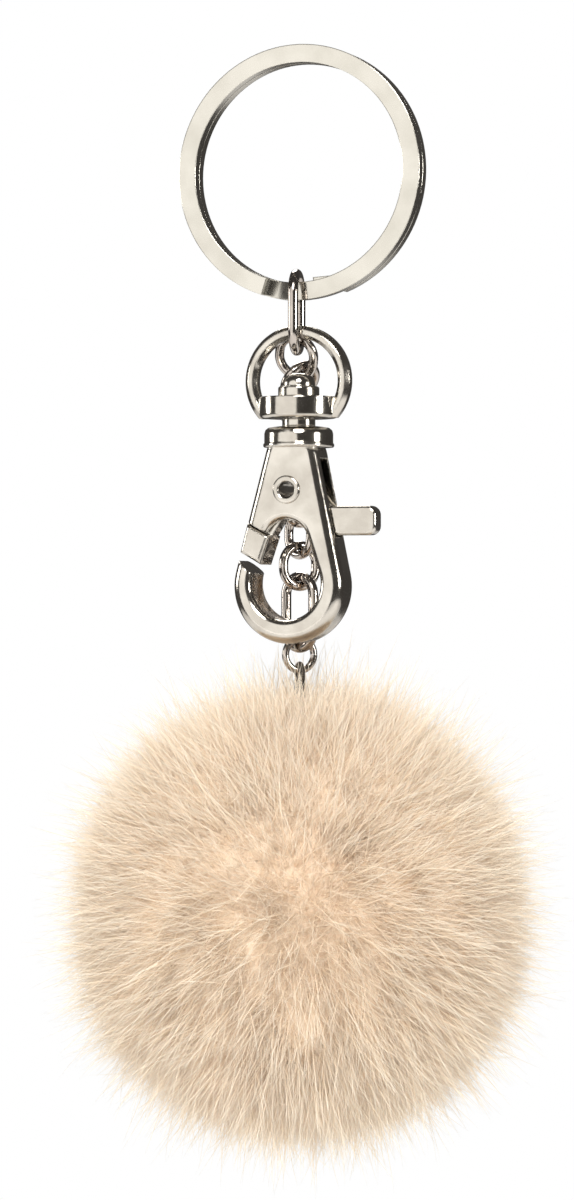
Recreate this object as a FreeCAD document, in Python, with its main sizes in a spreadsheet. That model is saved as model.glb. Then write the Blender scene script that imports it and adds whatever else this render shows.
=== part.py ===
import FreeCAD, Part
import Sketcher
import math
import os

# A key ring with a swivel trigger hook and a fur ball, hanging at rest.
# Millimetres. +Z is up, -Y is the front, and the origin is the centre of the split ring's hole.

doc = FreeCAD.newDocument("FurBallKeyring")
sheet = doc.addObject("Spreadsheet::Sheet", "Sizes")

SIZES = [
    ("ring_outer_dia", 30.0, "split ring, outside"),
    ("ring_band", 2.1, "split ring, radial width of the strip"),
    ("ring_strip", 1.25, "split ring, thickness of the strip"),
    ("ring_gap", 0.08, "split ring, gap between its two turns"),
    ("ring_front_end", 17.7, "split ring, angle of the front turn's free end, left of the bottom"),
    ("ring_jog_low", -5.0, "split ring, angle where the strip leaves the front turn"),
    ("ring_jog_high", 17.0, "split ring, angle where the strip joins the back turn"),
    ("ring_tail_start", 20.5, "split ring, angle where the back turn's tail starts to thin"),
    ("ring_tail_end", 6.5, "split ring, angle of the tail's tip, right of the bottom"),
    ("ring_tail_lift", 0.55, "split ring, how far the tail's tip lifts inwards"),
    ("ring_tail_tip", 0.8, "split ring, radial width of the tail's tip"),
    ("oval_wire", 1.2, "oval jump rings, wire"),
    ("oval_length", 10.2, "top jump ring, outside length"),
    ("oval_width", 6.2, "top jump ring, outside width"),
    ("lower_length", 9.7, "lower jump ring, outside length"),
    ("lower_width", 5.5, "lower jump ring, outside width"),
    ("link_wire", 1.1, "chain link, wire"),
    ("link_length", 6.0, "chain link, outside length"),
    ("link_width", 5.5, "chain link, outside width"),
    ("eye_wire", 0.85, "end ring, wire"),
    ("eye_dia", 4.6, "end ring, outside"),
    ("seam", 0.03, "butt seam of every bent-wire ring"),
    ("slack", 0.04, "gap between two wires that hang on each other"),
    ("bow_outer_rad", 6.5, "swivel bow, outside radius"),
    ("bow_band", 1.5, "swivel bow, radial width"),
    ("bow_depth", 1.9, "swivel bow, front to back"),
    ("bow_bevel", 0.5, "swivel bow, corner bevel of its section"),
    ("bow_centre_z", -24.5, "swivel bow, height of its centre"),
    ("base_rad", 4.6, "swivel base, radius"),
    ("base_top_z", -26.4, "swivel base, top face"),
    ("base_low_z", -28.9, "swivel base, bottom face"),
    ("base_bevel", 0.45, "swivel base, bevel of the lower edge"),
    ("stud_rad", 1.3, "swivel stud, shank radius"),
    ("stud_top_z", -23.6, "swivel stud, top of the dome"),
    ("stud_flange_rad", 2.42, "swivel stud, flange radius"),
    ("stud_flange", 1.2, "swivel stud, thickness of the flange"),
    ("stud_head_rad", 1.95, "swivel stud, head radius"),
    ("stud_dome", 1.3, "swivel stud, rounding of the dome"),
    ("stud_low_z", -31.7, "swivel stud, lower end"),
    ("turning_gap", 0.05, "running clearance, per side"),
    ("collar_rad", 4.05, "hook collar, radius"),
    ("collar_top_z", -29.9, "hook collar, top"),
    ("collar_low_z", -32.3, "hook collar, bottom"),
    ("neck_rad", 1.95, "hook neck, radius"),
    ("hook_y", -0.94, "swivel axis, distance behind the split ring's middle plane"),
    ("hook_thick", 5.2, "hook casting, front to back"),
    ("hook_head_x", -0.27, "hook outline, upper circle"),
    ("hook_head_z", -33.6, "hook outline, upper circle"),
    ("hook_head_rad", 3.35, "hook outline, upper circle"),
    ("hook_bowl_x", -0.7, "hook outline, lower circle"),
    ("hook_bowl_z", -48.55, "hook outline, lower circle"),
    ("hook_bowl_rad", 6.8, "hook outline, lower circle"),
    ("hook_bevel", 1.35, "hook casting, rounding of the outer edges"),
    ("eye_arch_x", -0.85, "hook opening, upper circle"),
    ("eye_arch_z", -43.5, "hook opening, upper circle"),
    ("eye_arch_rad", 2.75, "hook opening, upper circle"),
    ("eye_bowl_x", -0.9, "hook opening, lower circle"),
    ("eye_bowl_z", -48.26, "hook opening, lower circle"),
    ("eye_bowl_rad", 4.3, "hook opening, lower circle"),
    ("eye_bevel", 0.85, "hook casting, rounding of the opening's edges"),
    ("pivot_x", -0.6, "trigger pivot"),
    ("pivot_z", -37.3, "trigger pivot"),
    ("slot_thick", 2.9, "slot in the hook for the trigger"),
    ("trigger_thick", 2.3, "trigger plate"),
    ("gate_thick", 4.5, "trigger gate"),
    ("trigger_hub_rad", 2.3, "trigger hub, radius"),
    ("lever_top_z", -39.2, "trigger lever, upper edge"),
    ("lever_low_z", -42.65, "trigger lever, lower edge"),
    ("lever_end_x", 9.9, "trigger lever, outer end"),
    ("lever_corner", 1.1, "trigger lever, rounding of the outer end's corners"),
    ("lever_edge", 0.4, "trigger lever, rounding of its front and back edges"),
    ("gate_edge", 0.55, "trigger gate, rounding of its front and back edges"),
    ("rivet_rad", 1.3, "rivet shank, radius"),
    ("rivet_bore_rad", 0.95, "rivet, radius of the hole through it"),
    ("rivet_rim_rad", 1.65, "rivet, radius of the rolled rim"),
    ("rivet_rim", 0.26, "rivet, height of the rolled rim"),
    ("spring_wire", 0.28, "torsion spring, wire"),
    ("spring_rad", 1.72, "torsion spring, mean coil radius"),
    ("spring_pocket_rad", 2.0, "trigger, radius of the pocket for the coil"),
    ("spring_pocket", 1.1, "trigger, depth of the pocket for the coil"),
    ("thread", 0.6, "tether thread"),
    ("tether_width", 2.1, "tether loop, outside width"),
    ("ball_drop", 29.0, "end ring's lowest wire to the ball's centre"),
    ("fur_rad", 28.0, "fur pile, outside radius"),
    ("pelt_rad", 17.2, "pelt, outside radius"),
    ("pelt_thick", 0.9, "pelt, thickness of the skin"),
    ("neck_hole_rad", 2.2, "pelt, radius of its gathered neck"),
    ("stitch_rad", 0.25, "gathering thread, radius"),
    ("channel_rad", 1.6, "fur pile, radius of the parting that the tether leaves by"),
    ("knot_rad", 1.7, "tether knot, radius"),
    ("knot_height", 1.8, "tether knot, height"),
    ("knot_top", 14.2, "tether knot, height of its top over the ball's centre"),
    ("layer_gap", 0.08, "gap between the ball's layers"),
]

for row, (alias, number, note) in enumerate(SIZES, start=1):
    sheet.set(f"A{row}", note)
    sheet.set(f"B{row}", str(number))
    sheet.setAlias(f"B{row}", alias)
doc.recompute()

# Each chain link's lean from vertical and the way it leans, in degrees, from the top link
# down: the chain leans back to pass behind the swivel base, then hangs straight.
STRAIGHT = (0.0, 0.0)
LINK_LEANS = [(30.0, 118.0), (60.0, 92.0), (14.0, 92.0)] + 5 * [STRAIGHT]
# The way each link faces, from the top link down: the chain is twisted about its length.
LINK_YAWS = [-8.0, 68.0, 156.0, 244.0, 331.0, 418.0, 506.0, 589.0]
TOP_RING_X = -0.5
TOP_RING_Y = -0.24
TOP_RING_YAW = 100.0
LOWER_RING_YAW = -22.0
END_RING_YAW = 46.0
BALL_YAW = 136.0

subparts = []


def size(alias):
    """The number in the sheet's cell of that name."""
    return float(sheet.get(alias))


def number(expression):
    """What an expression written for the sheet works out to."""
    return float(sheet.evalExpression(expression.replace("Sizes.", "")))


def bind(item, **expressions):
    """Binds properties of a document object to the sheet."""
    for prop, expression in expressions.items():
        item.setExpression(prop.replace("__", "."), expression)
    return item


def keep(item, label):
    """Names a finished sub-part and adds it to the list that is written out."""
    item.Label = label
    subparts.append(item)
    return item


def origin_plane(body, role):
    """One of the body's own origin planes or axes."""
    return next(f for f in body.Origin.OriginFeatures if f.Role == role)


def add_sketch(body, name, role, offset=None):
    """A sketch on one of the body's origin planes."""
    sketch = body.newObject("Sketcher::SketchObject", name)
    sketch.AttachmentSupport = [(origin_plane(body, role), "")]
    sketch.MapMode = "FlatFace"
    if offset is not None:
        sketch.AttachmentOffset = offset
    return sketch


def pin_point(sketch, geometry, end, x, y):
    """Fixes a sketch point at two sheet expressions."""
    for kind, expression in (("DistanceX", x), ("DistanceY", y)):
        at = sketch.addConstraint(
            Sketcher.Constraint(kind, -1, 1, geometry, end, number(expression))
        )
        sketch.setExpression(f"Constraints[{at}]", expression)


def draw_polygon(sketch, corners):
    """A closed outline through corners, each a pair of sheet expressions."""
    points = [FreeCAD.Vector(number(x), number(y), 0) for x, y in corners]
    count = len(points)
    first = sketch.GeometryCount
    for i in range(count):
        sketch.addGeometry(Part.LineSegment(points[i], points[(i + 1) % count]))
    for i in range(count):
        following = first + (i + 1) % count
        sketch.addConstraint(Sketcher.Constraint("Coincident", first + i, 2, following, 1))
        pin_point(sketch, first + i, 1, *corners[i])


def draw_circle(sketch, x, y, radius):
    """A circle whose centre and radius are sheet expressions."""
    centre = FreeCAD.Vector(number(x), number(y), 0)
    circle = Part.Circle(centre, FreeCAD.Vector(0, 0, 1), number(radius))
    at = sketch.addGeometry(circle)
    pin_point(sketch, at, 3, x, y)
    rule = sketch.addConstraint(Sketcher.Constraint("Radius", at, number(radius)))
    sketch.setExpression(f"Constraints[{rule}]", radius)


def draw_belt(sketch, upper, lower):
    """The outline of a belt round two circles, each (x, y, radius) as sheet expressions."""
    (ax, ay, ar), (bx, by, br) = [[number(e) for e in c] for c in (upper, lower)]
    along = math.atan2(by - ay, bx - ax)
    spread = math.acos((ar - br) / math.hypot(bx - ax, by - ay))
    up = FreeCAD.Vector(0, 0, 1)
    circle_a = Part.Circle(FreeCAD.Vector(ax, ay, 0), up, ar)
    circle_b = Part.Circle(FreeCAD.Vector(bx, by, 0), up, br)
    left, right = along - spread, along + spread
    turn = 2 * math.pi
    arc_a = sketch.addGeometry(Part.ArcOfCircle(circle_a, right, left + turn))
    arc_b = sketch.addGeometry(Part.ArcOfCircle(circle_b, left, right))

    def on(x, y, r, angle):
        return FreeCAD.Vector(x + r * math.cos(angle), y + r * math.sin(angle), 0)

    side_l = sketch.addGeometry(
        Part.LineSegment(on(ax, ay, ar, left), on(bx, by, br, left))
    )
    side_r = sketch.addGeometry(
        Part.LineSegment(on(bx, by, br, right), on(ax, ay, ar, right))
    )
    for arc, arc_end, side, side_end in (
        (arc_a, 2, side_l, 1),
        (side_l, 2, arc_b, 1),
        (arc_b, 2, side_r, 1),
        (side_r, 2, arc_a, 1),
    ):
        sketch.addConstraint(Sketcher.Constraint("Tangent", arc, arc_end, side, side_end))
    for arc, (x, y, radius) in ((arc_a, upper), (arc_b, lower)):
        pin_point(sketch, arc, 3, x, y)
        rule = sketch.addConstraint(Sketcher.Constraint("Radius", arc, number(radius)))
        sketch.setExpression(f"Constraints[{rule}]", radius)


def pad(body, sketch, thickness):
    """A pad to both sides of its sketch."""
    item = body.newObject("PartDesign::Pad", sketch.Name + "Pad")
    item.Profile = sketch
    item.SideType = "Symmetric"
    return bind(item, Length=thickness)


def pocket(body, sketch, thickness):
    """A pocket to both sides of its sketch."""
    item = body.newObject("PartDesign::Pocket", sketch.Name + "Pocket")
    item.Profile = sketch
    item.SideType = "Symmetric"
    return bind(item, Length=thickness)


def revolve(body, sketch, axis, angle=None):
    """A revolution of a sketch about an axis, by a full turn unless an angle is given."""
    item = body.newObject("PartDesign::Revolution", sketch.Name + "Turn")
    item.Profile = sketch
    item.ReferenceAxis = axis
    if angle is None:
        item.Angle = 360
    else:
        bind(item, Angle=angle)
    return item


def edges_where(feature, test):
    """Names of the feature's edges whose every sampled point passes the test."""
    names = []
    for i, edge in enumerate(feature.Shape.Edges, start=1):
        first, last = edge.ParameterRange
        points = [edge.valueAt(first + (last - first) * t) for t in (0.05, 0.5, 0.95)]
        if all(test(p) for p in points):
            names.append(f"Edge{i}")
    return names


def dress(body, kind, base, names, **expressions):
    """A fillet or chamfer on the named edges of a feature."""
    item = body.newObject(f"PartDesign::{kind}", f"{base.Name}{kind}")
    item.Base = (base, names)
    return bind(item, **expressions)


def round_rims(body, feature, height, radius, rounding):
    """Fillets the circular edge of a turned feature at a height and radius."""

    def on_rim(p):
        return abs(p.z - height) < 1e-4 and abs(math.hypot(p.x, p.y) - radius) < 1e-4

    item = dress(body, "Fillet", feature, edges_where(feature, on_rim), Radius=rounding)
    doc.recompute()
    return item


def wire_ring(label, length, width, wire, place, seam=True):
    """A ring of round wire in its own XZ plane: two half turns and two straight legs."""
    straight = f"({length} - {width})"
    radius = f"({width} - {wire}) / 2"
    pieces = []
    for name, tilt, sign in (("Top", 90, ""), ("Low", -90, "-")):
        bend = doc.addObject("Part::Torus", f"{label}_{name}")
        bend.Angle3 = 180
        bind(bend, Radius1=radius, Radius2=f"{wire} / 2")
        bend.Placement = FreeCAD.Placement(
            FreeCAD.Vector(), FreeCAD.Rotation(FreeCAD.Vector(1, 0, 0), tilt)
        )
        bind(bend, Placement__Base__z=f"{sign}{straight} / 2")
        pieces.append(bend)
    for name, sign in (("Left", "-"), ("Right", "")):
        leg = doc.addObject("Part::Cylinder", f"{label}_{name}")
        bind(leg, Radius=f"{wire} / 2", Height=straight)
        bind(leg, Placement__Base__x=f"{sign}{radius}", Placement__Base__z=f"-{straight} / 2")
        pieces.append(leg)
    ring = doc.addObject("Part::MultiFuse", f"{label}_Wire")
    ring.Shapes = pieces
    if seam:
        ring = cut_seam(ring, label, wire, radius)
    ring.Placement = place
    return keep(ring, label)


def cut_seam(ring, label, wire, radius):
    """Cuts the butt seam through a ring's right side."""
    saw = doc.addObject("Part::Box", f"{label}_Saw")
    bind(saw, Length=f"2 * {wire}", Width=f"2 * {wire}", Height="Sizes.seam")
    bind(
        saw,
        Placement__Base__x=f"{radius} - {wire}",
        Placement__Base__y=f"-{wire}",
        Placement__Base__z="-Sizes.seam / 2",
    )
    cut = doc.addObject("Part::Cut", f"{label}_Cut")
    cut.Base = ring
    cut.Tool = saw
    return cut


def leaning_down(lean):
    """The direction down a ring that leans by a tilt towards a heading."""
    tilt, heading = (math.radians(angle) for angle in lean)
    out = math.sin(tilt)
    return FreeCAD.Vector(out * math.cos(heading), out * math.sin(heading), -math.cos(tilt))


def hang(top, lean, yaw, length, wire):
    """The placement of a ring whose top wire is at a point, and where its lowest wire is."""
    down = leaning_down(lean)
    across = FreeCAD.Vector(math.cos(math.radians(yaw)), math.sin(math.radians(yaw)), 0)
    across = (across - down * across.dot(down)).normalize()
    up = -down
    centre = top + down * ((length - wire) / 2)
    turn = FreeCAD.Rotation(across, up.cross(across), up, "ZXY")
    return FreeCAD.Placement(centre, turn), top + down * (length - wire)


def next_top(place, length, width, wire, lean, next_wire):
    """The top wire of a ring that hangs in another, at the lowest point for its lean."""
    down = leaning_down(lean)
    normal = place.Rotation.multVec(FreeCAD.Vector(0, 1, 0))
    pull = (down - normal * down.dot(normal)).normalize()
    bend_centre = place.multVec(FreeCAD.Vector(0, 0, -(length - width) / 2))
    wire_centre = bend_centre + pull * ((width - wire) / 2)
    return wire_centre - down * ((wire + next_wire) / 2 + size("slack"))


def make_split_ring():
    """A flat strip wound twice. It leaves the front turn at the bottom for the back one."""
    body = doc.addObject("PartDesign::Body", "SplitRing")
    middle = "(Sizes.ring_outer_dia - Sizes.ring_band) / 2"
    layer = "(Sizes.ring_strip + Sizes.ring_gap) / 2"

    def section(name, angle, across, radius=middle, band="Sizes.ring_band"):
        turn = FreeCAD.Rotation(FreeCAD.Vector(1, 0, 0), angle)
        sketch = add_sketch(
            body, name, "YZ_Plane", FreeCAD.Placement(FreeCAD.Vector(), turn)
        )
        near, far = f"{across} - Sizes.ring_strip / 2", f"{across} + Sizes.ring_strip / 2"
        outer, inner = f"-({radius}) - {band} / 2", f"-({radius}) + {band} / 2"
        draw_polygon(sketch, [(near, outer), (far, outer), (far, inner), (near, inner)])
        return sketch

    axis = (origin_plane(body, "Y_Axis"), [""])
    front_end = size("ring_front_end")
    jog_low, jog_high = size("ring_jog_low"), size("ring_jog_high")
    front = section("FrontTurn", front_end, f"-({layer})")
    revolve(body, front, axis, "360 + Sizes.ring_jog_low - Sizes.ring_front_end")
    back = section("BackTurn", jog_high, layer)
    revolve(body, back, axis, "360 - Sizes.ring_tail_start - Sizes.ring_jog_high")
    steps = 6
    jog = []
    for i in range(steps + 1):
        share = i / steps
        smooth = share * share * (3 - 2 * share)
        angle = jog_low + (jog_high - jog_low) * share
        jog.append(section(f"Jog{i}", angle, f"({2 * smooth - 1}) * {layer}"))
    strip = body.newObject("PartDesign::AdditiveLoft", "JogLoft")
    strip.Profile = jog[0]
    strip.Sections = jog[1:]
    tail_root = section("TailRoot", -size("ring_tail_start"), layer)
    tail_tip = section(
        "TailTip",
        -size("ring_tail_end"),
        layer,
        f"{middle} - (Sizes.ring_band - Sizes.ring_tail_tip) / 2 - Sizes.ring_tail_lift",
        "Sizes.ring_tail_tip",
    )
    tail = body.newObject("PartDesign::AdditiveLoft", "TailLoft")
    tail.Profile = tail_root
    tail.Sections = [tail_tip]
    tail.Ruled = True
    doc.recompute()
    keep(body, "split_ring")


def make_bow(place):
    """The round bow and the base that its hook turns in, one casting."""
    body = doc.addObject("PartDesign::Body", "SwivelBow")
    base = add_sketch(body, "BaseSection", "XZ_Plane")
    bore = "Sizes.stud_rad + Sizes.turning_gap"
    draw_polygon(
        base,
        [
            (bore, "Sizes.base_low_z"),
            ("Sizes.base_rad", "Sizes.base_low_z"),
            ("Sizes.base_rad", "Sizes.base_top_z"),
            (bore, "Sizes.base_top_z"),
        ],
    )
    turned = revolve(body, base, (origin_plane(body, "Z_Axis"), [""]))
    doc.recompute()
    low_z = size("base_low_z")
    round_rims(body, turned, low_z, size("base_rad"), "Sizes.base_bevel")
    ring = add_sketch(body, "BowSection", "YZ_Plane")
    half, bevel = "Sizes.bow_depth / 2", "Sizes.bow_bevel"
    outer = "Sizes.bow_centre_z + Sizes.bow_outer_rad"
    inner = f"{outer} - Sizes.bow_band"
    draw_polygon(
        ring,
        [
            (f"{half} - {bevel}", outer),
            (half, f"{outer} - {bevel}"),
            (half, f"{inner} + {bevel}"),
            (f"{half} - {bevel}", inner),
            (f"-({half} - {bevel})", inner),
            (f"-{half}", f"{inner} + {bevel}"),
            (f"-{half}", f"{outer} - {bevel}"),
            (f"-({half} - {bevel})", outer),
        ],
    )
    centre = number("Sizes.bow_centre_z")
    line = ring.addGeometry(
        Part.LineSegment(FreeCAD.Vector(-1, centre, 0), FreeCAD.Vector(1, centre, 0)), True
    )
    pin_point(ring, line, 1, "-1", "Sizes.bow_centre_z")
    pin_point(ring, line, 2, "1", "Sizes.bow_centre_z")
    revolve(body, ring, (ring, ["Axis0"]))
    saw = add_sketch(body, "BowFoot", "XZ_Plane")
    reach = "(Sizes.bow_outer_rad + 1)"
    draw_polygon(
        saw,
        [
            (f"-{reach}", "Sizes.base_low_z + 0.01"),
            (reach, "Sizes.base_low_z + 0.01"),
            (reach, "Sizes.bow_centre_z - Sizes.bow_outer_rad - 1"),
            (f"-{reach}", "Sizes.bow_centre_z - Sizes.bow_outer_rad - 1"),
        ],
    )
    pocket(body, saw, "2 * Sizes.bow_depth")
    body.Placement = place
    keep(body, "swivel_bow")


def make_stud(place):
    """The domed stud that holds the hook's collar to the base."""
    body = doc.addObject("PartDesign::Body", "SwivelStud")
    sketch = add_sketch(body, "StudSection", "XZ_Plane")
    seat = "Sizes.base_top_z + Sizes.turning_gap"
    draw_polygon(
        sketch,
        [
            ("0", "Sizes.stud_low_z"),
            ("Sizes.stud_rad - 0.2", "Sizes.stud_low_z"),
            ("Sizes.stud_rad", "Sizes.stud_low_z + 0.2"),
            ("Sizes.stud_rad", seat),
            ("Sizes.stud_flange_rad", seat),
            ("Sizes.stud_flange_rad", f"{seat} + Sizes.stud_flange"),
            ("Sizes.stud_head_rad", f"{seat} + Sizes.stud_flange"),
            ("Sizes.stud_head_rad", "Sizes.stud_top_z"),
            ("0", "Sizes.stud_top_z"),
        ],
    )
    turned = revolve(body, sketch, (origin_plane(body, "Z_Axis"), [""]))
    doc.recompute()
    rim = round_rims(body, turned, number("Sizes.stud_top_z"), size("stud_head_rad"), "Sizes.stud_dome")
    flange_top = number(f"{seat} + Sizes.stud_flange")
    round_rims(body, rim, flange_top, size("stud_flange_rad"), "0.25")
    body.Placement = place
    keep(body, "swivel_stud")


def make_hook(place):
    """The cast hook: a beveled teardrop with its opening, collar, slot and gate gap."""
    body = doc.addObject("PartDesign::Body", "HookBody")
    outline = add_sketch(body, "HookOutline", "XZ_Plane")
    draw_belt(
        outline,
        ("Sizes.hook_head_x", "Sizes.hook_head_z", "Sizes.hook_head_rad"),
        ("Sizes.hook_bowl_x", "Sizes.hook_bowl_z", "Sizes.hook_bowl_rad"),
    )
    pad(body, outline, "Sizes.hook_thick")
    opening = add_sketch(body, "HookOpening", "XZ_Plane")
    draw_belt(
        opening,
        ("Sizes.eye_arch_x", "Sizes.eye_arch_z", "Sizes.eye_arch_rad"),
        ("Sizes.eye_bowl_x", "Sizes.eye_bowl_z", "Sizes.eye_bowl_rad"),
    )
    cut = pocket(body, opening, "2 * Sizes.hook_thick")
    doc.recompute()
    half = size("hook_thick") / 2
    bowl = FreeCAD.Vector(size("eye_bowl_x"), 0, size("eye_bowl_z"))
    arch = FreeCAD.Vector(size("eye_arch_x"), 0, size("eye_arch_z"))
    reach = max(size("eye_bowl_rad"), size("eye_arch_rad")) + 0.01

    def on_face(p):
        return abs(abs(p.y) - half) < 1e-4

    def inner(p):
        flat = FreeCAD.Vector(p.x, 0, p.z)
        return flat.distanceToPoint(bowl) < reach or flat.distanceToPoint(arch) < reach

    outer_edges = edges_where(cut, lambda p: on_face(p) and not inner(p))
    rounded = dress(body, "Fillet", cut, outer_edges, Radius="Sizes.hook_bevel")
    doc.recompute()
    inner_edges = edges_where(rounded, lambda p: on_face(p) and inner(p))
    dress(body, "Fillet", rounded, inner_edges, Radius="Sizes.eye_bevel")
    doc.recompute()
    collar = add_sketch(body, "CollarSection", "XZ_Plane")
    neck_top = "Sizes.base_low_z - Sizes.turning_gap"
    draw_polygon(
        collar,
        [
            ("0", neck_top),
            ("Sizes.neck_rad", neck_top),
            ("Sizes.neck_rad", "Sizes.collar_top_z + 0.1"),
            ("Sizes.collar_rad - 1.2", "Sizes.collar_top_z"),
            ("Sizes.collar_rad - 0.45", "Sizes.collar_top_z - 0.12"),
            ("Sizes.collar_rad - 0.12", "Sizes.collar_top_z - 0.4"),
            ("Sizes.collar_rad", "Sizes.collar_top_z - 0.8"),
            ("Sizes.collar_rad", "Sizes.collar_low_z + 0.5"),
            ("Sizes.collar_rad + 0.12", "Sizes.collar_low_z + 0.38"),
            ("Sizes.collar_rad + 0.12", "Sizes.collar_low_z + 0.12"),
            ("Sizes.collar_rad", "Sizes.collar_low_z"),
            ("0", "Sizes.collar_low_z"),
        ],
    )
    revolve(body, collar, (origin_plane(body, "Z_Axis"), [""]))
    slot = add_sketch(body, "TriggerSlot", "XZ_Plane")
    draw_polygon(
        slot,
        [
            ("-1.9", "-33.6"),
            ("9", "-33.6"),
            ("9", "Sizes.lever_low_z - 0.2"),
            ("1.2", "Sizes.lever_low_z - 0.2"),
            ("-0.5", "-44.4"),
            ("-3.2", "-43.9"),
            ("-5.1", "-41.8"),
            ("-4.3", "-39.6"),
            ("-2.6", "-35.0"),
        ],
    )
    pocket(body, slot, "Sizes.slot_thick")
    gap = add_sketch(body, "GateGap", "XZ_Plane")
    draw_polygon(
        gap,
        [("-9", "-39.23"), ("-2", "-42.98"), ("-2.5", "-49.2"), ("-9", "-43.9")],
    )
    pocket(body, gap, "2 * Sizes.hook_thick")
    hole = add_sketch(body, "RivetHole", "XZ_Plane")
    draw_circle(hole, "Sizes.pivot_x", "Sizes.pivot_z", "Sizes.rivet_rad + 0.01")
    pocket(body, hole, "2 * Sizes.hook_thick")
    socket = add_sketch(body, "StudSocket", "XZ_Plane")
    draw_polygon(
        socket,
        [
            ("0", f"{neck_top} + 1"),
            ("Sizes.stud_rad + 0.01", f"{neck_top} + 1"),
            ("Sizes.stud_rad + 0.01", "Sizes.stud_low_z - 0.05"),
            ("0", "Sizes.stud_low_z - 0.05"),
        ],
    )
    groove = body.newObject("PartDesign::Groove", "StudSocketTurn")
    groove.Profile = socket
    groove.ReferenceAxis = (origin_plane(body, "Z_Axis"), [""])
    groove.Angle = 360
    body.Placement = place
    keep(body, "hook_body")


def make_trigger(place):
    """The trigger: hub, thumb lever and arm in one plate, and the thicker gate."""
    body = doc.addObject("PartDesign::Body", "Trigger")
    hub = add_sketch(body, "TriggerHub", "XZ_Plane")
    draw_circle(hub, "Sizes.pivot_x", "Sizes.pivot_z", "Sizes.trigger_hub_rad")
    pad(body, hub, "Sizes.trigger_thick")
    lever = add_sketch(body, "TriggerLever", "XZ_Plane")
    draw_polygon(
        lever,
        [
            ("0.6", "-35.4"),
            ("4.0", "Sizes.lever_top_z"),
            ("Sizes.lever_end_x", "Sizes.lever_top_z"),
            ("Sizes.lever_end_x", "Sizes.lever_low_z"),
            ("2.4", "Sizes.lever_low_z"),
            ("-0.6", "-39.5"),
        ],
    )
    blade = pad(body, lever, "Sizes.trigger_thick")
    doc.recompute()
    end_x = size("lever_end_x")
    half_plate = size("trigger_thick") / 2
    lever_z = size("lever_top_z"), size("lever_low_z")

    def on_corner(p):
        return abs(p.x - end_x) < 1e-4 and min(abs(p.z - z) for z in lever_z) < 1e-4

    def on_lever_rim(p):
        return abs(abs(p.y) - half_plate) < 1e-4 and p.x > 4.0 - 1e-4

    corners = edges_where(blade, on_corner)
    rounded = dress(body, "Fillet", blade, corners, Radius="Sizes.lever_corner")
    doc.recompute()
    dress(body, "Fillet", rounded, edges_where(rounded, on_lever_rim), Radius="Sizes.lever_edge")
    doc.recompute()
    arm = add_sketch(body, "TriggerArm", "XZ_Plane")
    draw_polygon(
        arm,
        [
            ("-2.3", "-38.2"),
            ("-4.1", "-41.0"),
            ("-4.9", "-42.4"),
            ("-3.3", "-43.2"),
            ("-1.0", "-39.5"),
        ],
    )
    pad(body, arm, "Sizes.trigger_thick")
    gate = add_sketch(body, "Gate", "XZ_Plane")
    draw_polygon(
        gate,
        [("-5.72", "-41.2"), ("-2.95", "-42.68"), ("-4.1", "-46.05"), ("-6.62", "-44.6")],
    )
    block = pad(body, gate, "Sizes.gate_thick")
    doc.recompute()
    half = size("gate_thick") / 2
    rims = edges_where(block, lambda p: abs(abs(p.y) - half) < 1e-4)
    dress(body, "Fillet", block, rims, Radius="Sizes.gate_edge")
    doc.recompute()
    bore = add_sketch(body, "TriggerBore", "XZ_Plane")
    draw_circle(
        bore, "Sizes.pivot_x", "Sizes.pivot_z", "Sizes.rivet_rad + Sizes.turning_gap"
    )
    pocket(body, bore, "2 * Sizes.trigger_thick")
    lift = FreeCAD.Vector(0, 0, -(size("trigger_thick") / 2 - size("spring_pocket") / 2))
    recess = add_sketch(
        body, "SpringPocket", "XZ_Plane", FreeCAD.Placement(lift, FreeCAD.Rotation())
    )
    draw_circle(recess, "Sizes.pivot_x", "Sizes.pivot_z", "Sizes.spring_pocket_rad")
    pocket(body, recess, "Sizes.spring_pocket + 0.02")
    notch = add_sketch(
        body, "SpringNotch", "XZ_Plane", FreeCAD.Placement(lift, FreeCAD.Rotation())
    )
    draw_polygon(
        notch,
        [("-2.6", "-37.3"), ("-1.9", "-37.3"), ("-1.9", "-40.4"), ("-2.6", "-40.4")],
    )
    pocket(body, notch, "Sizes.spring_pocket + 0.02")
    body.Placement = place
    keep(body, "trigger")


def make_rivet(place):
    """The tubular rivet that the trigger turns on, with a rolled rim at each end."""
    body = doc.addObject("PartDesign::Body", "PivotRivet")
    sketch = add_sketch(body, "RivetSection", "YZ_Plane")
    face = "Sizes.hook_thick / 2"
    tip = f"{face} + Sizes.rivet_rim"
    draw_polygon(
        sketch,
        [
            (f"-({tip})", "Sizes.rivet_bore_rad + 0.15"),
            (f"-({tip} - 0.12)", "Sizes.rivet_bore_rad"),
            (f"{tip} - 0.12", "Sizes.rivet_bore_rad"),
            (tip, "Sizes.rivet_bore_rad + 0.15"),
            (tip, "Sizes.rivet_rim_rad - 0.15"),
            (f"{tip} - 0.1", "Sizes.rivet_rim_rad"),
            (f"{face} + 0.01", "Sizes.rivet_rim_rad"),
            (f"{face} + 0.01", "Sizes.rivet_rad"),
            (f"-({face} + 0.01)", "Sizes.rivet_rad"),
            (f"-({face} + 0.01)", "Sizes.rivet_rim_rad"),
            (f"-({tip} - 0.1)", "Sizes.rivet_rim_rad"),
            (f"-({tip})", "Sizes.rivet_rim_rad - 0.15"),
        ],
    )
    revolve(body, sketch, (origin_plane(body, "Y_Axis"), [""]))
    pivot = FreeCAD.Vector(size("pivot_x"), 0, size("pivot_z"))
    body.Placement = place.multiply(FreeCAD.Placement(pivot, FreeCAD.Rotation()))
    keep(body, "pivot_rivet")


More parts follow.
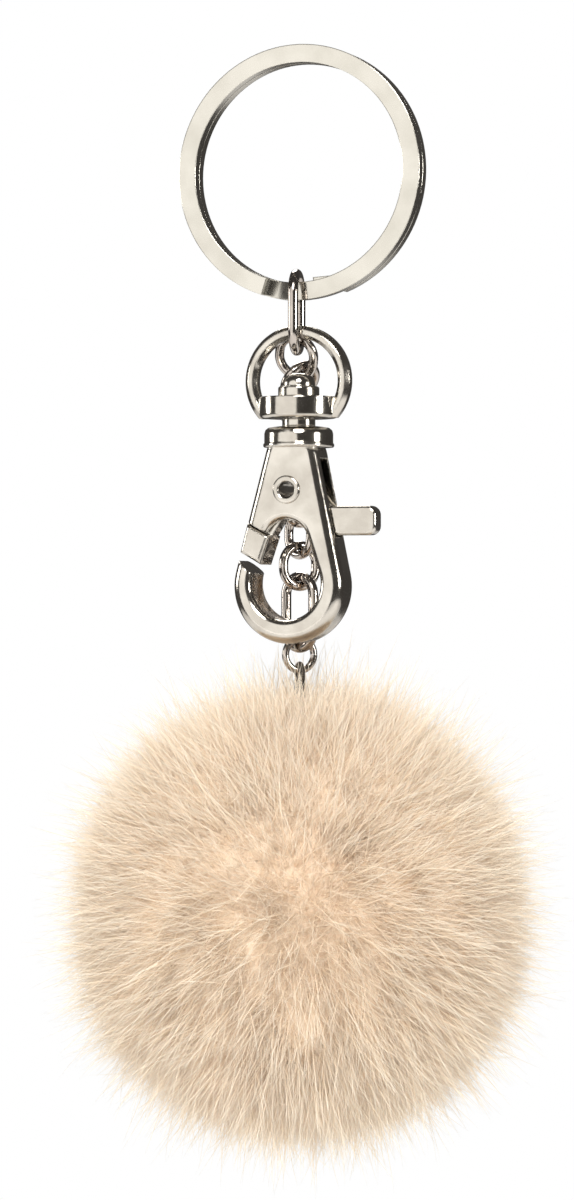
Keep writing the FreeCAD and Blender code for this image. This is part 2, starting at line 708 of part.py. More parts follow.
def make_spring(place):
    """The torsion spring round the rivet: one leg on the hook's wall, one in the trigger."""
    wire, radius = size("spring_wire"), size("spring_rad")
    pitch, turns = wire + 0.1, 2.75
    rise = pitch * turns
    helix = Part.makeHelix(pitch, rise, radius)
    start = FreeCAD.Vector(radius, 0, 0)
    profile = Part.Wire(Part.makeCircle(wire / 2, start, FreeCAD.Vector(0, 1, 0)))
    coil = Part.Wire(helix.Edges).makePipeShell([profile], True, True)
    low = Part.makeCylinder(wire / 2, 3.0, start, FreeCAD.Vector(0, -1, 0))
    top_angle = math.radians(360 * turns)
    top = FreeCAD.Vector(radius * math.cos(top_angle), radius * math.sin(top_angle), rise)
    away = FreeCAD.Vector(-math.sin(top_angle), math.cos(top_angle), 0)
    high = Part.makeCylinder(wire / 2, 3.2, top, away)
    spring = doc.addObject("Part::Feature", "TriggerSpring")
    spring.Shape = coil.fuse([low, high]).removeSplitter()
    depth = size("trigger_thick") / 2 - size("spring_pocket") + wire / 2 + 0.06
    pivot = FreeCAD.Vector(size("pivot_x"), depth, size("pivot_z"))
    lie = FreeCAD.Rotation(
        FreeCAD.Vector(-1, 0, 0), FreeCAD.Vector(0, 0, 1), FreeCAD.Vector(0, 1, 0), "ZXY"
    )
    spring.Placement = place.multiply(FreeCAD.Placement(pivot, lie))
    keep(spring, "trigger_spring")


def make_ball(lowest):
    """The fur ball on its tether: knot, stuffing, pelt, gathering thread and pile."""
    centre = lowest + FreeCAD.Vector(0, 0, -size("ball_drop"))
    place = FreeCAD.Placement(centre, FreeCAD.Rotation())

    def sphere(name, radius):
        return bind(doc.addObject("Part::Sphere", name), Radius=radius)

    def shaft(name, radius, low, height):
        item = doc.addObject("Part::Cylinder", name)
        return bind(item, Radius=radius, Height=height, Placement__Base__z=low)

    def cut(name, base, tool):
        item = doc.addObject("Part::Cut", name)
        item.Base = base
        item.Tool = tool
        return item

    def finish(item, label):
        item.Placement = place
        keep(item, label)

    inside = "Sizes.pelt_rad - Sizes.pelt_thick"
    knot_low = "Sizes.knot_top - Sizes.knot_height"
    knot = shaft("TetherKnot", "Sizes.knot_rad", knot_low, "Sizes.knot_height")
    knot_edges = doc.addObject("Part::Fillet", "TetherKnotRound")
    knot_edges.Base = knot
    knot_edges.Edges = [(1, 0.5, 0.5), (3, 0.5, 0.5)]
    finish(knot_edges, "tether_knot")
    pocket_rad = "Sizes.knot_rad + Sizes.layer_gap"
    pocket_low = f"{knot_low} - Sizes.layer_gap"
    well = shaft("StuffingWell", pocket_rad, pocket_low, "Sizes.pelt_rad")
    filling = sphere("StuffingBall", f"{inside} - Sizes.layer_gap")
    finish(cut("Stuffing", filling, well), "stuffing")
    skin = cut("PeltShell", sphere("PeltOutside", "Sizes.pelt_rad"), sphere("PeltInside", inside))
    mouth = shaft("PeltMouth", "Sizes.neck_hole_rad", "0", "Sizes.pelt_rad + 1")
    finish(cut("Pelt", skin, mouth), "pelt_skin")
    stitch = doc.addObject("Part::Torus", "GatheringThread")
    bind(
        stitch,
        Radius1="Sizes.neck_hole_rad - Sizes.stitch_rad - Sizes.layer_gap",
        Radius2="Sizes.stitch_rad",
    )
    rim = FreeCAD.Vector(0, 0, number("Sizes.pelt_rad - Sizes.pelt_thick / 2"))
    stitch.Placement = FreeCAD.Placement(centre + rim, FreeCAD.Rotation())
    keep(stitch, "gathering_thread")
    pile = cut(
        "PileShell",
        sphere("PileOutside", "Sizes.fur_rad"),
        sphere("PileInside", "Sizes.pelt_rad + Sizes.layer_gap"),
    )
    parting = shaft("PileParting", "Sizes.channel_rad", "0", "Sizes.fur_rad + 1")
    finish(cut("Pile", pile, parting), "fur_pile")
    make_tether(lowest, centre)
    return centre


def make_tether(lowest, centre):
    """The thread loop, over the end ring's lowest wire and down to the knot."""
    half = (size("tether_width") - size("thread")) / 2
    bend = doc.addObject("Part::Torus", "TetherBend")
    bend.Angle3 = 180
    bind(
        bend,
        Radius1="(Sizes.tether_width - Sizes.thread) / 2",
        Radius2="Sizes.thread / 2",
    )
    bend.Placement = FreeCAD.Placement(
        FreeCAD.Vector(), FreeCAD.Rotation(FreeCAD.Vector(1, 0, 0), 90)
    )
    over = size("eye_wire") / 2 + size("slack") + size("thread") / 2
    bend_centre = lowest + FreeCAD.Vector(0, 0, over - half)
    drop = bend_centre.z - (centre.z + size("knot_top"))
    legs = []
    for name, side in (("TetherLeft", -half), ("TetherRight", half)):
        leg = doc.addObject("Part::Cylinder", name)
        bind(leg, Radius="Sizes.thread / 2")
        leg.Height = drop
        leg.Placement = FreeCAD.Placement(
            FreeCAD.Vector(side, 0, -drop), FreeCAD.Rotation()
        )
        legs.append(leg)
    loop = doc.addObject("Part::MultiFuse", "TetherLoop")
    loop.Shapes = [bend] + legs
    turn = FreeCAD.Rotation(FreeCAD.Vector(0, 0, 1), BALL_YAW)
    loop.Placement = FreeCAD.Placement(bend_centre, turn)
    keep(loop, "tether_loop")


def make_hanging_rings():
    """The top jump ring, the chain, the lower jump ring and the end ring, hung in turn."""
    oval, link, eye = size("oval_wire"), size("link_wire"), size("eye_wire")
    strip_lift = 0.42
    ring_bottom = -(size("ring_outer_dia") / 2 - size("ring_band"))
    top = FreeCAD.Vector(TOP_RING_X, TOP_RING_Y, ring_bottom + strip_lift + oval / 2)
    pivots = {"top_jump_ring": top}
    place, lowest = hang(top, STRAIGHT, TOP_RING_YAW, size("oval_length"), oval)
    wire_ring(
        "top_jump_ring", "Sizes.oval_length", "Sizes.oval_width", "Sizes.oval_wire", place
    )
    side = math.radians(TOP_RING_YAW)
    bend_rad = (size("oval_width") - oval) / 2
    seat = FreeCAD.Vector(math.cos(side) * 0.88, math.sin(side) * 0.88, bend_rad - 0.935)
    top = lowest + seat
    link_size = size("link_length"), size("link_width"), link
    for i, (lean, yaw) in enumerate(zip(LINK_LEANS, LINK_YAWS)):
        label = f"chain_link_{i + 1}"
        if i:
            top = next_top(place, *link_size, lean, link)
        pivots[label] = top
        place, lowest = hang(top, lean, yaw, size("link_length"), link)
        wire_ring(label, "Sizes.link_length", "Sizes.link_width", "Sizes.link_wire", place)
    top = next_top(place, *link_size, STRAIGHT, oval)
    pivots["lower_jump_ring"] = top
    place, lowest = hang(top, STRAIGHT, LOWER_RING_YAW, size("lower_length"), oval)
    wire_ring(
        "lower_jump_ring", "Sizes.lower_length", "Sizes.lower_width", "Sizes.oval_wire", place
    )
    lower_size = size("lower_length"), size("lower_width"), oval
    top = next_top(place, *lower_size, STRAIGHT, eye)
    pivots["end_ring"] = top
    place, lowest = hang(top, STRAIGHT, END_RING_YAW, size("eye_dia"), eye)
    loop = doc.addObject("Part::Torus", "EndRingWire")
    bind(loop, Radius1="(Sizes.eye_dia - Sizes.eye_wire) / 2", Radius2="Sizes.eye_wire / 2")
    loop.Placement = FreeCAD.Placement(
        FreeCAD.Vector(), FreeCAD.Rotation(FreeCAD.Vector(1, 0, 0), 90)
    )
    ring = cut_seam(loop, "end_ring", "Sizes.eye_wire", "(Sizes.eye_dia - Sizes.eye_wire) / 2")
    ring.Placement = place
    keep(ring, "end_ring")
    pivots["fur_ball"] = lowest
    return pivots


def check_and_write():
    """Stops on any failed object or bad shape, then writes one STEP file per sub-part."""
    doc.recompute()
    failed = [o.Name for o in doc.Objects if {"Invalid", "Error"} & set(o.State)]
    if failed:
        raise RuntimeError(f"failed objects: {failed}")
    for item in subparts:
        shape = item.Shape
        if shape.isNull() or not shape.isValid() or len(shape.Solids) != 1:
            raise RuntimeError(f"{item.Label} is not one valid solid")
    os.makedirs("parts", exist_ok=True)
    for item in subparts:
        item.Shape.exportStep(os.path.join("parts", f"{item.Label}.step"))
        box = item.Shape.BoundBox
        print(
            f"{item.Label}: {item.Shape.Volume:.2f} mm3,"
            f" x {box.XMin:.2f}..{box.XMax:.2f}"
            f" y {box.YMin:.2f}..{box.YMax:.2f}"
            f" z {box.ZMin:.2f}..{box.ZMax:.2f}"
        )


pivots = make_hanging_rings()
hook_place = FreeCAD.Placement(FreeCAD.Vector(0, size("hook_y"), 0), FreeCAD.Rotation())
make_split_ring()
make_bow(hook_place)
make_stud(hook_place)
make_hook(hook_place)
make_trigger(hook_place)
make_rivet(hook_place)
make_spring(hook_place)
make_ball(pivots["fur_ball"])
check_and_write()
for name, point in pivots.items():
    print(f"hinge of {name}: {point.x:.3f}, {point.y:.3f}, {point.z:.3f}")
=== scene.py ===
import math

import bpy
import numpy as np
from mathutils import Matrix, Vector


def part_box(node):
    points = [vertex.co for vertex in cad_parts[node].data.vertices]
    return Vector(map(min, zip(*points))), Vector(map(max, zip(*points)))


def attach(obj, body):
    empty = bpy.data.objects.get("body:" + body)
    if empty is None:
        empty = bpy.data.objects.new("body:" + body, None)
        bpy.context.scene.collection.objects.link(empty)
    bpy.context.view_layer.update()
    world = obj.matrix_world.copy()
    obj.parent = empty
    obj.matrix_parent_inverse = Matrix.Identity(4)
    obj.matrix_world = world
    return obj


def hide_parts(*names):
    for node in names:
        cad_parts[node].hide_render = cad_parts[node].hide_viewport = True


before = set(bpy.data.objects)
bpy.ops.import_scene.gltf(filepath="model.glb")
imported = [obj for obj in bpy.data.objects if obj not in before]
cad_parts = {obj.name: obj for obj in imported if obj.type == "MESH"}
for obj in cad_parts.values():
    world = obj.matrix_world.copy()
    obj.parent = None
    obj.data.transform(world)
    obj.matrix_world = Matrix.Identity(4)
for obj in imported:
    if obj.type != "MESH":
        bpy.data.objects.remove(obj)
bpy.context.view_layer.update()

# Lengths are in metres, and the object faces -Y.
MM = 0.001
UP = np.array((0.0, 0.0, 1.0))

# The camera stands in front of the object, turned this far towards +X.
VIEW_AZIMUTH = math.radians(20.0)
TO_CAMERA = Vector((math.sin(VIEW_AZIMUTH), -math.cos(VIEW_AZIMUTH), 0.0))
CAMERA_RIGHT = Vector((math.cos(VIEW_AZIMUTH), math.sin(VIEW_AZIMUTH), 0.0))

BALL_LOW, BALL_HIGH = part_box("fur_pile")
BALL = np.array((BALL_LOW + BALL_HIGH) / 2)
BALL_RADIUS = (BALL_HIGH - BALL_LOW).z / 2

WIRE_NODES = ["top_jump_ring", "lower_jump_ring", "end_ring"]
WIRE_NODES += [f"chain_link_{i}" for i in range(1, 9)]
CAST_NODES = ["swivel_bow", "hook_body", "trigger", "swivel_stud", "pivot_rivet"]
THREAD_NODES = ["tether_loop", "tether_knot", "gathering_thread"]


# Materials. Colours are linear, and noise scales are in features per metre.


def new_material(name):
    """A material with only a shader and an output. Returns it, its node tree and the shader."""
    mat = bpy.data.materials.new(name)
    mat.use_nodes = True
    tree = mat.node_tree
    tree.nodes.clear()
    out = tree.nodes.new("ShaderNodeOutputMaterial")
    shader = tree.nodes.new("ShaderNodeBsdfPrincipled")
    tree.links.new(shader.outputs["BSDF"], out.inputs["Surface"])
    return mat, tree, shader


def add_noise(tree, scale, detail=3.0, stretch=None):
    """A noise factor in the object's own coordinates, stretched if asked for."""
    coords = tree.nodes.new("ShaderNodeTexCoord")
    noise = tree.nodes.new("ShaderNodeTexNoise")
    noise.inputs["Scale"].default_value = scale
    noise.inputs["Detail"].default_value = detail
    source = coords.outputs["Object"]
    if stretch is not None:
        mapping = tree.nodes.new("ShaderNodeMapping")
        mapping.inputs["Scale"].default_value = stretch
        tree.links.new(source, mapping.inputs["Vector"])
        source = mapping.outputs["Vector"]
    tree.links.new(source, noise.inputs["Vector"])
    return noise.outputs["Fac"]


def add_ramp(tree, factor, stops):
    """A colour ramp over a factor, with (position, colour) stops."""
    ramp = tree.nodes.new("ShaderNodeValToRGB")
    tree.links.new(factor, ramp.inputs["Fac"])
    elements = ramp.color_ramp.elements
    while len(elements) < len(stops):
        elements.new(0.5)
    for element, (position, colour) in zip(elements, stops):
        element.position = position
        element.color = (*colour, 1.0)
    return ramp.outputs["Color"]


def add_range(tree, factor, low, high):
    """Maps a 0 to 1 factor on to a range."""
    node = tree.nodes.new("ShaderNodeMapRange")
    tree.links.new(factor, node.inputs["Value"])
    node.inputs["To Min"].default_value = low
    node.inputs["To Max"].default_value = high
    return node.outputs["Result"]


def add_bump(tree, shader, height, strength, distance, edge=0.0):
    """Bumps a shader's surface, over edges softened by a radius if one is given."""
    bump = tree.nodes.new("ShaderNodeBump")
    bump.inputs["Strength"].default_value = strength
    bump.inputs["Distance"].default_value = distance
    tree.links.new(height, bump.inputs["Height"])
    if edge:
        soft = tree.nodes.new("ShaderNodeBevel")
        soft.samples = 6
        soft.inputs["Radius"].default_value = edge
        tree.links.new(soft.outputs["Normal"], bump.inputs["Normal"])
    tree.links.new(bump.outputs["Normal"], shader.inputs["Normal"])


def plated_metal(name, tints, roughness, wave, depth, edge=0.0):
    """Plated metal: a faint mottle between two tints, fine haze and a soft unevenness."""
    mat, tree, shader = new_material(name)
    shader.inputs["Metallic"].default_value = 1.0
    mottle = add_noise(tree, 260.0, 4.0)
    tint = add_ramp(tree, mottle, [(0.35, tints[0]), (0.65, tints[1])])
    tree.links.new(tint, shader.inputs["Base Color"])
    haze = add_noise(tree, 900.0, 5.0)
    tree.links.new(add_range(tree, haze, *roughness), shader.inputs["Roughness"])
    uneven = add_noise(tree, wave, 2.0)
    add_bump(tree, shader, uneven, strength=0.5, distance=depth, edge=edge)
    return mat


def thread_material():
    """Dark sewing thread with its twist."""
    mat, tree, shader = new_material("thread")
    shader.inputs["Roughness"].default_value = 0.85
    strands = add_noise(tree, 2500.0, 2.0, stretch=(1.0, 1.0, 0.25))
    stops = [(0.35, (0.028, 0.022, 0.017)), (0.7, (0.11, 0.088, 0.07))]
    tree.links.new(add_ramp(tree, strands, stops), shader.inputs["Base Color"])
    add_bump(tree, shader, strands, strength=0.6, distance=0.1 * MM)
    return mat


def fibre_material(name, low, high, scale):
    """Matted fibre: filling, the skin under the fur or the dense fur close to it."""
    mat, tree, shader = new_material(name)
    shader.inputs["Roughness"].default_value = 0.95
    fibres = add_noise(tree, scale, 5.0)
    tint = add_ramp(tree, fibres, [(0.3, low), (0.7, high)])
    tree.links.new(tint, shader.inputs["Base Color"])
    add_bump(tree, shader, fibres, strength=0.7, distance=0.4 * MM)
    return mat


def hair_material(name, root, middle, tip, sheen):
    """Hair that pales from root to tip. Each hair's own shade is in its mesh."""
    darkest, palest = 0.84, 1.08
    mat, tree, shader = new_material(name)
    shader.inputs["Roughness"].default_value = 0.55
    shader.inputs["Specular IOR Level"].default_value = sheen
    along = tree.nodes.new("ShaderNodeAttribute")
    along.attribute_name = "along"
    shade = tree.nodes.new("ShaderNodeAttribute")
    shade.attribute_name = "shade"
    stops = [(0.0, root), (0.55, middle), (1.0, tip)]
    colour = add_ramp(tree, along.outputs["Fac"], stops)
    tone = tree.nodes.new("ShaderNodeHueSaturation")
    tree.links.new(colour, tone.inputs["Color"])
    tree.links.new(add_range(tree, shade.outputs["Fac"], darkest, palest), tone.inputs["Value"])
    tree.links.new(tone.outputs["Color"], shader.inputs["Base Color"])
    return mat


STRIP = plated_metal(
    "ring_strip",
    tints=((0.50, 0.485, 0.44), (0.57, 0.555, 0.51)),
    roughness=(0.12, 0.22),
    wave=500,
    depth=0.02 * MM,
    edge=0.22 * MM,
)
WIRE = plated_metal(
    "ring_wire",
    tints=((0.38, 0.345, 0.32), (0.48, 0.445, 0.41)),
    roughness=(0.08, 0.16),
    wave=700,
    depth=0.03 * MM,
)
CAST = plated_metal(
    "casting",
    tints=((0.44, 0.415, 0.375), (0.57, 0.545, 0.50)),
    roughness=(0.08, 0.18),
    wave=380,
    depth=0.08 * MM,
    edge=0.3 * MM,
)
SPRING = plated_metal(
    "spring",
    tints=((0.42, 0.41, 0.40), (0.6, 0.59, 0.58)),
    roughness=(0.22, 0.34),
    wave=900,
    depth=0.01 * MM,
)
THREAD = thread_material()
PELT = fibre_material("pelt", (0.45, 0.33, 0.21), (0.68, 0.54, 0.38), 900.0)
FILLING = fibre_material("filling", (0.72, 0.71, 0.68), (0.9, 0.89, 0.87), 600.0)
UNDERFUR = fibre_material("underfur", (0.82, 0.66, 0.50), (0.93, 0.77, 0.61), 1400.0)
DOWN = hair_material(
    "down",
    root=(0.90, 0.735, 0.56),
    middle=(0.965, 0.82, 0.665),
    tip=(0.98, 0.87, 0.735),
    sheen=0.15,
)
GUARD = hair_material(
    "guard_hair",
    root=(0.89, 0.68, 0.49),
    middle=(0.97, 0.83, 0.66),
    tip=(0.99, 0.94, 0.83),
    sheen=0.4,
)


def paint(nodes, mat):
    """Gives CAD nodes their material."""
    for name in nodes:
        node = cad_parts[name]
        node.data.materials.clear()
        node.data.materials.append(mat)


# Meshes


def unit(v):
    """Vectors scaled to a length of one."""
    return v / np.linalg.norm(v, axis=-1, keepdims=True)


def mesh_object(name, points, faces, mat):
    """A mesh from vertex and face arrays; faces is a list of index arrays."""
    mesh = bpy.data.meshes.new(name)
    mesh.vertices.add(len(points))
    mesh.vertices.foreach_set("co", points.ravel())
    corners = np.concatenate([f.ravel() for f in faces])
    mesh.loops.add(len(corners))
    mesh.loops.foreach_set("vertex_index", corners)
    sides = np.concatenate([np.full(len(f), f.shape[1]) for f in faces])
    mesh.polygons.add(len(sides))
    mesh.polygons.foreach_set("loop_start", np.concatenate([[0], np.cumsum(sides)[:-1]]))
    mesh.update(calc_edges=True)
    mesh.shade_smooth()
    mesh.materials.append(mat)
    obj = bpy.data.objects.new(name, mesh)
    bpy.context.scene.collection.objects.link(obj)
    return obj


def add_values(obj, name, values):
    """Gives a mesh one number at each of its points, for its material to read."""
    layer = obj.data.attributes.new(name, "FLOAT", "POINT")
    layer.data.foreach_set("value", values.astype(np.float32))


# Hair

HAIR_SIDES = 3
HAIR_TAPER = 0.75
HAIR_ROOT = BALL_RADIUS - 6.0 * MM

# The fur is parted at the front, a little above the ball's middle, and lies away from there.
# Within PARTING_EDGE of the parting's axis, as a share of the ball's radius, the combing fades.
PARTING = unit(np.array(TO_CAMERA) + np.array(CAMERA_RIGHT) * 0.03 + UP * 0.08)
PARTING_EDGE = 0.25

# Radius of the gap in the hair on top of the ball that the tether leaves by.
TETHER_CHANNEL = 0.4 * MM

# How far the slow unevenness changes a tuft's length, and the hairs' own lengths and
# thicknesses, as shares of their tuft's length and their coat's thickness.
LENGTH_SWELL = 0.1
LENGTH_SHARES = (0.8, 1.08)
THICKNESS_SHARES = (0.7, 1.25)

# How much of a hair's shade comes from its tuft and how much is its own.
TUFT_SHADE, OWN_SHADE = 0.55, 0.45


def hairs(name, paths, radius, shade, mat, rng):
    """Tapered hairs. paths is (hair, point, xyz), from each root to its tip."""
    count, rings = paths.shape[0], paths.shape[1] - 1
    along = unit(paths[:, 1:] - paths[:, :-1])
    side = unit(np.cross(along, unit(rng.normal(size=(count, 1, 3)))))
    other = np.cross(along, side)
    share = np.arange(rings) / rings
    width = radius[:, None] * (1 - share**2 * HAIR_TAPER)
    per_hair = rings * HAIR_SIDES + 1
    points = np.empty((count, per_hair, 3))
    for k in range(HAIR_SIDES):
        turn = 2 * math.pi * k / HAIR_SIDES
        offset = side * math.cos(turn) + other * math.sin(turn)
        points[:, k:-1:HAIR_SIDES] = paths[:, :-1] + offset * width[..., None]
    points[:, -1] = paths[:, -1]
    corners = [(k, (k + 1) % HAIR_SIDES) for k in range(HAIR_SIDES)]
    last = (rings - 1) * HAIR_SIDES
    quads = [
        (low + a, low + b, low + HAIR_SIDES + b, low + HAIR_SIDES + a)
        for low in range(0, last, HAIR_SIDES)
        for a, b in corners
    ]
    tips = [(last + a, last + b, per_hair - 1) for a, b in corners]
    start = np.arange(count)[:, None, None] * per_hair
    faces = [(np.array(part)[None] + start).reshape(-1, len(part[0])) for part in (quads, tips)]
    obj = mesh_object(name, points.reshape(-1, 3), faces, mat)
    share = np.append(np.repeat(share, HAIR_SIDES), 1.0)
    add_values(obj, "along", np.tile(share, count))
    add_values(obj, "shade", np.repeat(shade, per_hair))
    return obj


def spread_points(count, rng):
    """Evenly spread directions, a little disturbed."""
    i = np.arange(count) + 0.5
    z = 1 - 2 * i / count
    turn = i * math.pi * (3 - math.sqrt(5))  # the golden angle, i times
    flat = np.sqrt(1 - z * z)
    points = np.stack([flat * np.cos(turn), flat * np.sin(turn), z], axis=1)
    return unit(points + rng.normal(size=points.shape) * 0.9 / math.sqrt(count))


def lay_direction(normal, strength, sag):
    """The way the hair is combed at a point on the ball: away from the parting and down."""
    facing = normal @ PARTING
    away = normal * facing[:, None] - PARTING
    away /= np.maximum(np.linalg.norm(away, axis=1, keepdims=True), PARTING_EDGE)
    down = normal * normal[:, 2:3] - UP
    return away * strength + down * sag


def swell(directions):
    """A slow unevenness over the ball, from about -1 to 1."""
    waves = 12
    rng = np.random.default_rng(5)
    wave = rng.normal(size=(waves, 3)) * 4.0
    phase = rng.uniform(0, 2 * math.pi, size=waves)
    return np.sin(directions @ wave.T + phase).mean(axis=1) * 2.5


def grow(normal, tip_normal, length, lean, bend, points):
    """Hair paths from the skin outwards: each leans by lean and curves on by bend."""
    root = normal * HAIR_ROOT
    start = unit(normal + lean)
    end = unit(normal + lean + bend)
    t = np.linspace(0, 1, points)[None, :, None]
    aim = (tip_normal - normal) * (HAIR_ROOT + length)[:, None]
    run = start[:, None] * t + (end - start)[:, None] * t * t / 2
    return root[:, None] + run * length[:, None, None] + aim[:, None] * t


def in_tether_channel(paths):
    """Whether each hair comes into the gap that the tether leaves by."""
    near = np.hypot(paths[..., 0], paths[..., 1]) < TETHER_CHANNEL
    return (near & (paths[..., 2] > 0)).any(axis=1)


def make_tufts(name, seed, tufts, each, reach, spread, grip, radius, lay, points, mat):
    """Hairs that grow in tufts, whose tips draw together by the share grip."""
    rng = np.random.default_rng(seed)
    centre = spread_points(tufts, rng)
    tuft_length = rng.uniform(*reach, size=tufts) * (1 + LENGTH_SWELL * swell(centre))
    tuft_lean = rng.normal(size=(tufts, 3)) * lay["stray_tuft"]
    which = np.repeat(np.arange(tufts), each)
    count = len(which)
    scatter = rng.normal(size=(count, 3)) * spread
    normal = unit(centre[which] + scatter)
    tip_normal = unit(centre[which] + scatter * (1 - grip))
    length = tuft_length[which] * rng.uniform(*LENGTH_SHARES, size=count)
    lean = lay_direction(normal, lay["comb"], lay["sag"]) + tuft_lean[which]
    lean += rng.normal(size=(count, 3)) * lay["stray"]
    bend = lay_direction(normal, lay["curl"], lay["sag"])
    bend += rng.normal(size=(count, 3)) * lay["stray"]
    paths = grow(normal, tip_normal, length, lean, bend, points)
    thick = radius * rng.uniform(*THICKNESS_SHARES, size=count)
    shade = rng.random(tufts)[which] * TUFT_SHADE + rng.random(count) * OWN_SHADE
    clear = ~in_tether_channel(paths)
    obj = hairs(name, paths[clear] + BALL, thick[clear], shade[clear], mat, rng)
    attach(obj, "fur_ball")


def make_underfur(radius, lump):
    """The dense fur close to the skin: a closed ball, uneven by about lump."""
    waves = 24
    coarsest = 7.0
    rng = np.random.default_rng(3)
    bpy.ops.mesh.primitive_ico_sphere_add(subdivisions=6, radius=1.0)
    obj = bpy.context.object
    obj.name = "underfur"
    mesh = obj.data
    co = np.empty(len(mesh.vertices) * 3)
    mesh.vertices.foreach_get("co", co)
    co = unit(co.reshape(-1, 3))
    uneven = np.zeros(len(co))
    for octave in range(3):
        wave = rng.normal(size=(waves, 3)) * coarsest * 2**octave
        phase = rng.uniform(0, 2 * math.pi, size=waves)
        uneven += np.sin(co @ wave.T + phase).sum(axis=1) / (waves * 0.35 * 2**octave)
    co = co * (radius + lump * np.clip(uneven, -1.5, 1.5))[:, None] + BALL
    mesh.vertices.foreach_set("co", co.ravel())
    mesh.update()
    mesh.shade_smooth()
    mesh.materials.append(UNDERFUR)
    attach(obj, "fur_ball")
    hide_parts("fur_pile")


def make_fur():
    """The dense underfur, the down that covers it and the longer guard hairs."""
    make_underfur(BALL_RADIUS - 3.8 * MM, 0.7 * MM)
    down_lay = {"comb": 0.28, "curl": 0.3, "sag": 0.12, "stray": 0.42, "stray_tuft": 0.75}
    for part in range(10):
        make_tufts(
            f"down_{part + 1}",
            seed=10 + part,
            tufts=1000,
            each=13,
            reach=(5.4 * MM, 8.4 * MM),
            spread=0.035,
            grip=0.5,
            radius=0.042 * MM,
            lay=down_lay,
            points=4,
            mat=DOWN,
        )
    guard_lay = {"comb": 0.4, "curl": 0.5, "sag": 0.15, "stray": 0.35, "stray_tuft": 0.3}
    for part in range(3):
        make_tufts(
            f"guard_hair_{part + 1}",
            seed=40 + part,
            tufts=2600,
            each=2,
            reach=(8.4 * MM, 13.5 * MM),
            spread=0.02,
            grip=0.35,
            radius=0.05 * MM,
            lay=guard_lay,
            points=7,
            mat=GUARD,
        )


# The studio

STAGE_MIDDLE = Vector((0, 0, -0.05))
LIGHT_COLOUR = (1.0, 0.975, 0.935)
ROOM_COLOUR = (1.0, 0.93, 0.87, 1.0)
ROOM_STRENGTH = 0.08

# Name, azimuth in degrees, distance, height, diameter and power in watts.
LIGHTS = (
    ("front", -20, 1.0, 0.0, 1.3, 6.3),
    ("left_strip", -82, 1.1, 0.1, 0.35, 2.4),
    ("right_strip", 84, 1.1, 0.1, 0.35, 5.5),
    ("top", 20, 0.85, 0.6, 0.5, 10.5),
    ("back", 205, 0.95, 0.85, 0.7, 11.0),
)


def make_floor(height, radius, colour, glow):
    """A round pale floor, lit a little from within so that it stays pale to its rim."""
    rim_points = 96
    mat, tree, shader = new_material("floor")
    shader.inputs["Roughness"].default_value = 0.9
    shader.inputs["Emission Color"].default_value = (*colour, 1.0)
    shader.inputs["Emission Strength"].default_value = glow
    mottle = add_noise(tree, 6.0)
    dim = tuple(c * 0.97 for c in colour)
    tint = add_ramp(tree, mottle, [(0.3, dim), (0.7, colour)])
    tree.links.new(tint, shader.inputs["Base Color"])
    turn = np.linspace(0, 2 * math.pi, rim_points, endpoint=False)
    rim = [radius * np.cos(turn), radius * np.sin(turn), np.full(rim_points, height)]
    obj = mesh_object("floor", np.stack(rim, axis=1), [np.arange(rim_points)[None]], mat)


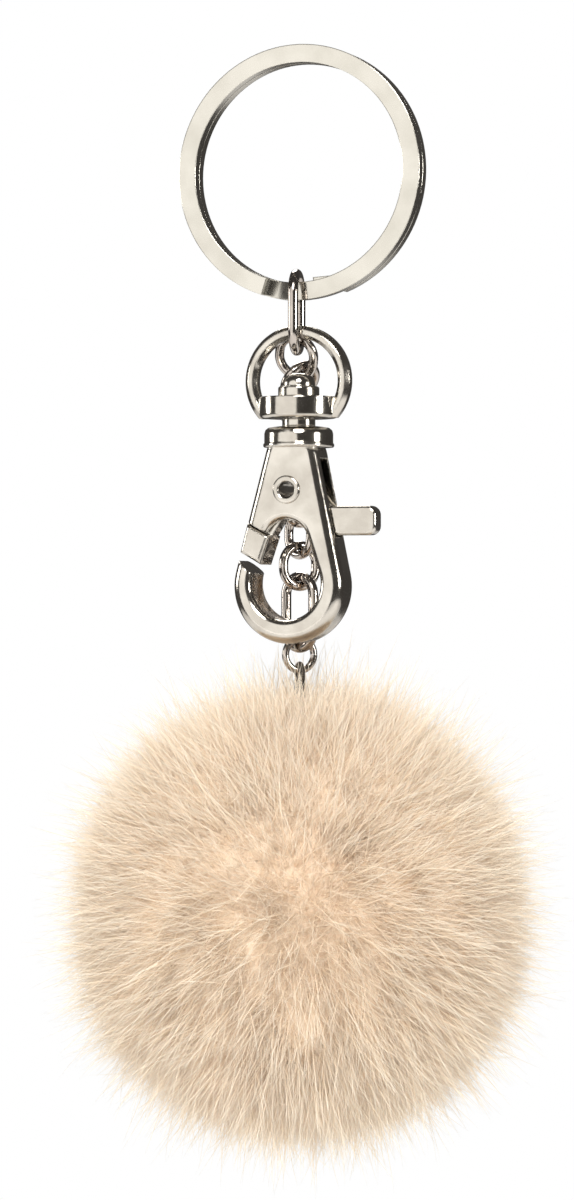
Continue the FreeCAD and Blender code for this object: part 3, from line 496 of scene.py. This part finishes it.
def make_surroundings():
    """A room that is white to the camera and dim to all else, for the metal to reflect."""
    world = bpy.data.worlds.new("studio")
    world.use_nodes = True
    tree = world.node_tree
    backdrop = tree.nodes["Background"]
    backdrop.inputs["Color"].default_value = (1.0, 1.0, 1.0, 1.0)
    room = tree.nodes.new("ShaderNodeBackground")
    room.inputs["Color"].default_value = ROOM_COLOUR
    room.inputs["Strength"].default_value = ROOM_STRENGTH
    ray = tree.nodes.new("ShaderNodeLightPath")
    mix = tree.nodes.new("ShaderNodeMixShader")
    tree.links.new(ray.outputs["Is Camera Ray"], mix.inputs["Fac"])
    tree.links.new(room.outputs["Background"], mix.inputs[1])
    tree.links.new(backdrop.outputs["Background"], mix.inputs[2])
    tree.links.new(mix.outputs["Shader"], tree.nodes["World Output"].inputs["Surface"])
    bpy.context.scene.world = world


def around(azimuth, distance, height):
    """A point round the object. Azimuth 0 is in front of it and 90 is towards +X."""
    a = math.radians(azimuth)
    return Vector((math.sin(a) * distance, -math.cos(a) * distance, height))


def area_light(name, place, target, diameter, power, colour):
    """A round soft light that faces its target."""
    light = bpy.data.lights.new(name, "AREA")
    light.shape = "DISK"
    light.size = diameter
    light.energy = power
    light.color = colour
    obj = bpy.data.objects.new(name, light)
    obj.location = place
    obj.rotation_mode = "QUATERNION"
    obj.rotation_quaternion = (target - place).to_track_quat("-Z", "Y")
    bpy.context.scene.collection.objects.link(obj)


def make_studio():
    """Pale surroundings and floor, with soft lights that leave dark gaps for the metal."""
    bpy.context.scene.view_settings.view_transform = "Standard"
    make_surroundings()
    make_floor(height=-0.45, radius=1.3, colour=(0.92, 0.91, 0.9), glow=0.34)
    for name, azimuth, distance, height, diameter, power in LIGHTS:
        place = around(azimuth, distance, height)
        area_light(name, place, STAGE_MIDDLE, diameter, power, LIGHT_COLOUR)


def make_camera():
    """A level camera that faces a point near the object's axis from VIEW_AZIMUTH."""
    distance = 0.45
    height_seen = 0.1411
    target = CAMERA_RIGHT * -0.0017 + Vector((0, 0, -0.0502))
    data = bpy.data.cameras.new("camera")
    data.sensor_width = 36.0
    data.lens = data.sensor_width / 2 / (height_seen / 2 / distance)
    data.clip_start = 0.01
    data.clip_end = 10.0
    camera = bpy.data.objects.new("camera", data)
    camera.location = target + TO_CAMERA * distance
    camera.rotation_mode = "QUATERNION"
    camera.rotation_quaternion = (-TO_CAMERA).to_track_quat("-Z", "Y")
    bpy.context.scene.collection.objects.link(camera)
    bpy.context.scene.camera = camera


paint(["split_ring"], STRIP)
paint(WIRE_NODES, WIRE)
paint(CAST_NODES, CAST)
paint(["trigger_spring"], SPRING)
paint(THREAD_NODES, THREAD)
paint(["pelt_skin"], PELT)
paint(["stuffing"], FILLING)
make_fur()
make_studio()
make_camera()
